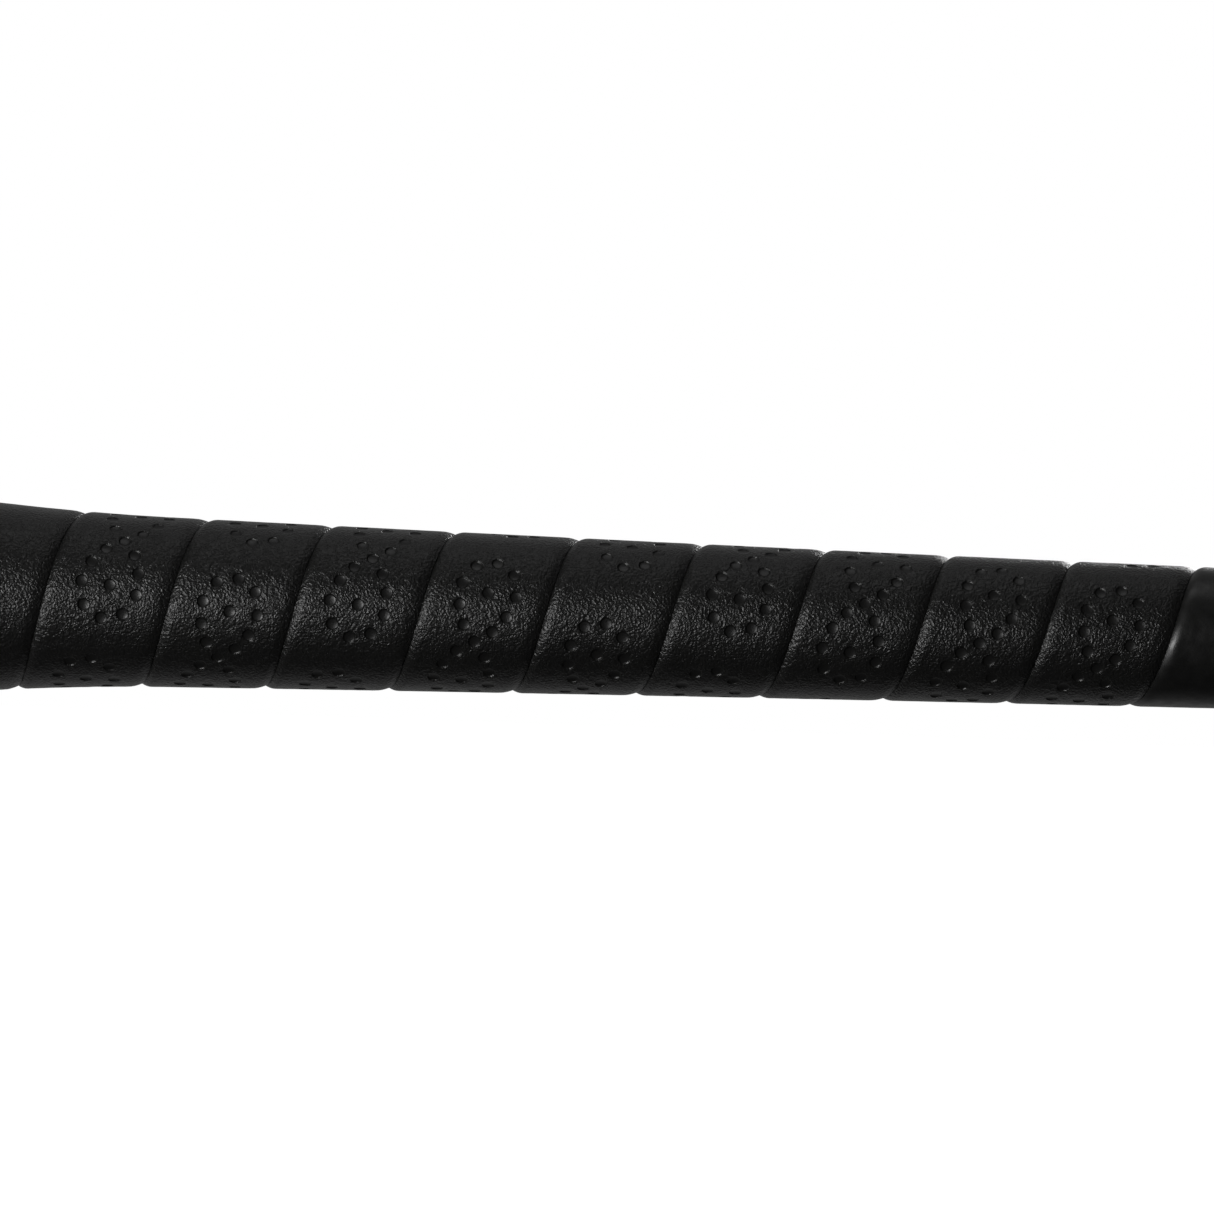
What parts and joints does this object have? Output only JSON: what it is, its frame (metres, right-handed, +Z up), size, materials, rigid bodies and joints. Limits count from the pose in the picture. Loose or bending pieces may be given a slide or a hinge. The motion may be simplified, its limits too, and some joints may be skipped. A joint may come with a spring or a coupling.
{
  "type": "golf grip",
  "caption": "Slip-on golf grip wound from a dimpled polyurethane strip, flared at the butt and tapering to the tip, with a butt cap, tip collar and blind shaft bore.",
  "frame": {"origin": "on the bore axis at the shaft stop, the blind end of the bore, 9.7 mm inside the crown of the butt cap", "axes": "+X along the bore axis from butt to tip, +Z up; the seam crosses the top at x = 21.6 mm and +Y is the back, where the two strips meet"},
  "size_m": [0.2665, 0.0342, 0.0342],
  "materials": {
    "sleeve_rubber": "matte moulded rubber",
    "adhesive": "tacky film",
    "backing_felt": "needled felt",
    "strip_polyurethane": "fine wrinkled grain, satin",
    "finishing_polyurethane": "smooth satin",
    "strapping_tape": "matte film",
    "cap_rubber": "satin moulded rubber",
    "medallion_plastic": "fine-textured hard plastic"
  },
  "bodies": {
    "root": {"underlisting_sleeve": "sleeve_rubber", "strip_adhesive": "adhesive", "strip_felt": "backing_felt", "strip_skin": "strip_polyurethane", "finishing_adhesive": "adhesive", "finishing_strip": "finishing_polyurethane", "binding_tape": "strapping_tape", "butt_cap": "cap_rubber", "vent_medallion": "medallion_plastic", "tip_collar": "cap_rubber"}
  },
  "joints": []
}
